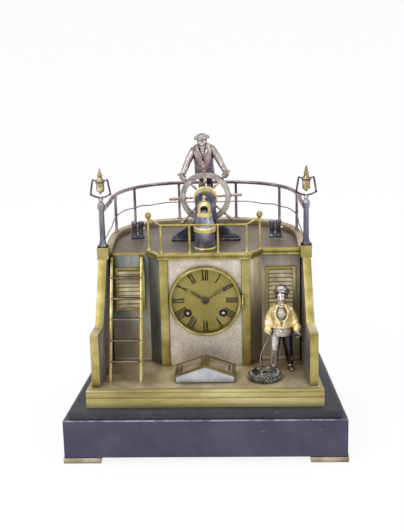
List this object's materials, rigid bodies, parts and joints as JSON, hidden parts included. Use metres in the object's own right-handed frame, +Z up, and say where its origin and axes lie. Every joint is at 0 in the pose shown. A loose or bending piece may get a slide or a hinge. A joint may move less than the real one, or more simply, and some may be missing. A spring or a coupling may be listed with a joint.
{
  "type": "automaton mantel clock",
  "caption": "Mantel clock shaped as a ship's quarterdeck on a marble base; a helmsman figure rocks with a turning ship's wheel above a round dial.",
  "frame": {"origin": "centre of the base on the surface the feet stand on", "axes": "+Z up, +Y from the dial to the stern, +X to the viewer's right"},
  "size_m": [0.322, 0.252, 0.3405],
  "materials": {
    "marble": "polished dark grey marble",
    "bronze": "brown patinated bronze",
    "brass": "aged polished brass",
    "dark_brass": "darkened brass",
    "silvered": "silvered, patinated",
    "deck_metal": "silvered plate, engraved planks",
    "steel": "dark patinated steel",
    "gilt": "gilt",
    "skylight_roof": "patinated, engraved grid",
    "skylight_glass": "frosted",
    "glass": "clear, domed",
    "blued_steel": "blued"
  },
  "bodies": {
    "case": {"marble_base": "marble", "foot_front_left": "bronze", "foot_front_right": "bronze", "foot_rear_left": "bronze", "foot_rear_right": "bronze", "floor_plate": "bronze", "stern_coaming": "bronze", "plinth": "brass", "side_wall_left": "brass", "side_wall_right": "brass", "pilaster_left": "brass", "pilaster_right": "brass", "louvre_left": "brass", "louvre_right": "brass", "deck_moulding": "brass", "balcony_rail": "brass", "skylight_frame": "brass", "ladder": "brass", "movement_frame": "brass", "stern_shell": "dark_brass", "centre_panel": "silvered", "cabin_wall_left": "silvered", "cabin_wall_right": "silvered", "fisherman": "silvered", "bell": "silvered", "upper_deck": "deck_metal", "taffrail": "steel", "lantern_post_left": "steel", "lantern_post_right": "steel", "binnacle": "steel", "wheel_pedestal": "steel", "bollard_left": "steel", "bollard_right": "steel", "net_basket": "steel", "helmsman_legs": "steel", "dial": "gilt", "skylight_pane_left": "skylight_roof", "skylight_pane_right": "skylight_roof", "skylight_front_pane": "skylight_glass"},
    "bezel_door": {"bezel": "brass", "dial_glass": "glass"},
    "rear_door": {"rear_door": "brass"},
    "lantern_left": {"lantern_left": "gilt"},
    "lantern_right": {"lantern_right": "gilt"},
    "minute_hand": {"minute_hand": "blued_steel"},
    "hour_hand": {"hour_hand": "blued_steel"},
    "minute_wheel": {"minute_wheel": "brass"},
    "going_barrel": {"going_barrel": "brass"},
    "centre_arbor": {"centre_arbor": "brass"},
    "third_arbor": {"third_arbor": "brass"},
    "escape_arbor": {"escape_arbor": "brass"},
    "strike_barrel": {"strike_barrel": "brass"},
    "pendulum": {"pendulum": "brass", "pallets": "steel"},
    "hammer": {"hammer": "steel"},
    "ship_wheel": {"ship_wheel": "gilt"},
    "helmsman_torso": {"helmsman_torso": "silvered"},
    "helmsman_arm_left": {"helmsman_arm_left": "silvered"},
    "helmsman_arm_right": {"helmsman_arm_right": "silvered"}
  },
  "joints": [
    {"name": "torso_rock", "type": "hinge", "parent": "case", "child": "helmsman_torso", "pos_m": [0, 0.064, 0.274], "axis": [0, 1, 0], "range_deg": [-6.4, 6.4]},
    {"name": "wheel_turn", "type": "hinge", "parent": "case", "child": "ship_wheel", "pos_m": [0, 0.046, 0.266], "axis": [0, 1, 0], "range_deg": [-5.7, 5.7]},
    {"name": "arm_left_swing", "type": "hinge", "parent": "helmsman_torso", "child": "helmsman_arm_left", "pos_m": [-0.01623, 0.063, 0.3111], "axis": [0, 1, 0], "range_deg": [-1.6, 1.6]},
    {"name": "arm_right_swing", "type": "hinge", "parent": "helmsman_torso", "child": "helmsman_arm_right", "pos_m": [0.01172, 0.063, 0.31276], "axis": [0, 1, 0], "range_deg": [-1.6, 1.6]},
    {"name": "pendulum_swing", "type": "hinge", "parent": "case", "child": "pendulum", "pos_m": [0, 0.011, 0.1965], "axis": [0, 1, 0], "range_deg": [-3, 3]},
    {"name": "going_barrel_turn", "type": "hinge", "parent": "case", "child": "going_barrel", "pos_m": [-0.0207, -0.01, 0.1475], "axis": [0, 1, 0], "continuous": true},
    {"name": "centre_turn", "type": "hinge", "parent": "case", "child": "centre_arbor", "pos_m": [0, -0.01, 0.163], "axis": [0, 1, 0], "continuous": true},
    {"name": "third_turn", "type": "hinge", "parent": "case", "child": "third_arbor", "pos_m": [-0.0124, 0, 0.1754], "axis": [0, 1, 0], "continuous": true},
    {"name": "escape_turn", "type": "hinge", "parent": "case", "child": "escape_arbor", "pos_m": [0, 0, 0.184], "axis": [0, 1, 0], "continuous": true},
    {"name": "strike_barrel_turn", "type": "hinge", "parent": "case", "child": "strike_barrel", "pos_m": [0.0207, -0.01, 0.1475], "axis": [0, 1, 0], "continuous": true},
    {"name": "hour_turn", "type": "hinge", "parent": "case", "child": "hour_hand", "pos_m": [0, -0.035, 0.163], "axis": [0, 1, 0], "continuous": true},
    {"name": "minute_turn", "type": "hinge", "parent": "case", "child": "minute_hand", "pos_m": [0, -0.035, 0.163], "axis": [0, 1, 0], "continuous": true},
    {"name": "minute_wheel_turn", "type": "hinge", "parent": "case", "child": "minute_wheel", "pos_m": [0, -0.03, 0.176], "axis": [0, 1, 0], "continuous": true},
    {"name": "bezel_open", "type": "hinge", "parent": "case", "child": "bezel_door", "pos_m": [0.0433, -0.0404, 0.163], "axis": [0, 0, 1], "range_deg": [0, 100]},
    {"name": "rear_door_open", "type": "hinge", "parent": "case", "child": "rear_door", "pos_m": [0.0517, 0.1229, 0.15], "axis": [0, 0, -1], "range_deg": [0, 110]},
    {"name": "lantern_left_swing", "type": "hinge", "parent": "case", "child": "lantern_left", "pos_m": [-0.11677, -0.0273, 0.305], "axis": [1, 0, 0], "range_deg": [-15, 15]},
    {"name": "lantern_right_swing", "type": "hinge", "parent": "case", "child": "lantern_right", "pos_m": [0.11677, -0.0273, 0.305], "axis": [1, 0, 0], "range_deg": [-15, 15]},
    {"name": "hammer_lift", "type": "hinge", "parent": "case", "child": "hammer", "pos_m": [-0.01, 0.014, 0.172], "axis": [0, 1, 0], "range_deg": [0, 12]}
  ],
  "couplings": [
    {"joint": "wheel_turn", "follows": "torso_rock", "ratio": 0.8818},
    {"joint": "arm_left_swing", "follows": "torso_rock", "ratio": -0.2434},
    {"joint": "arm_right_swing", "follows": "torso_rock", "ratio": -0.2434},
    {"joint": "pendulum_swing", "follows": "torso_rock", "ratio": 0.464},
    {"joint": "going_barrel_turn", "follows": "third_turn", "ratio": 0.0625},
    {"joint": "centre_turn", "follows": "third_turn", "ratio": -0.25},
    {"joint": "escape_turn", "follows": "third_turn", "ratio": -4},
    {"joint": "hour_turn", "follows": "minute_turn", "ratio": 0.083333},
    {"joint": "minute_wheel_turn", "follows": "minute_turn", "ratio": -0.33333}
  ]
}
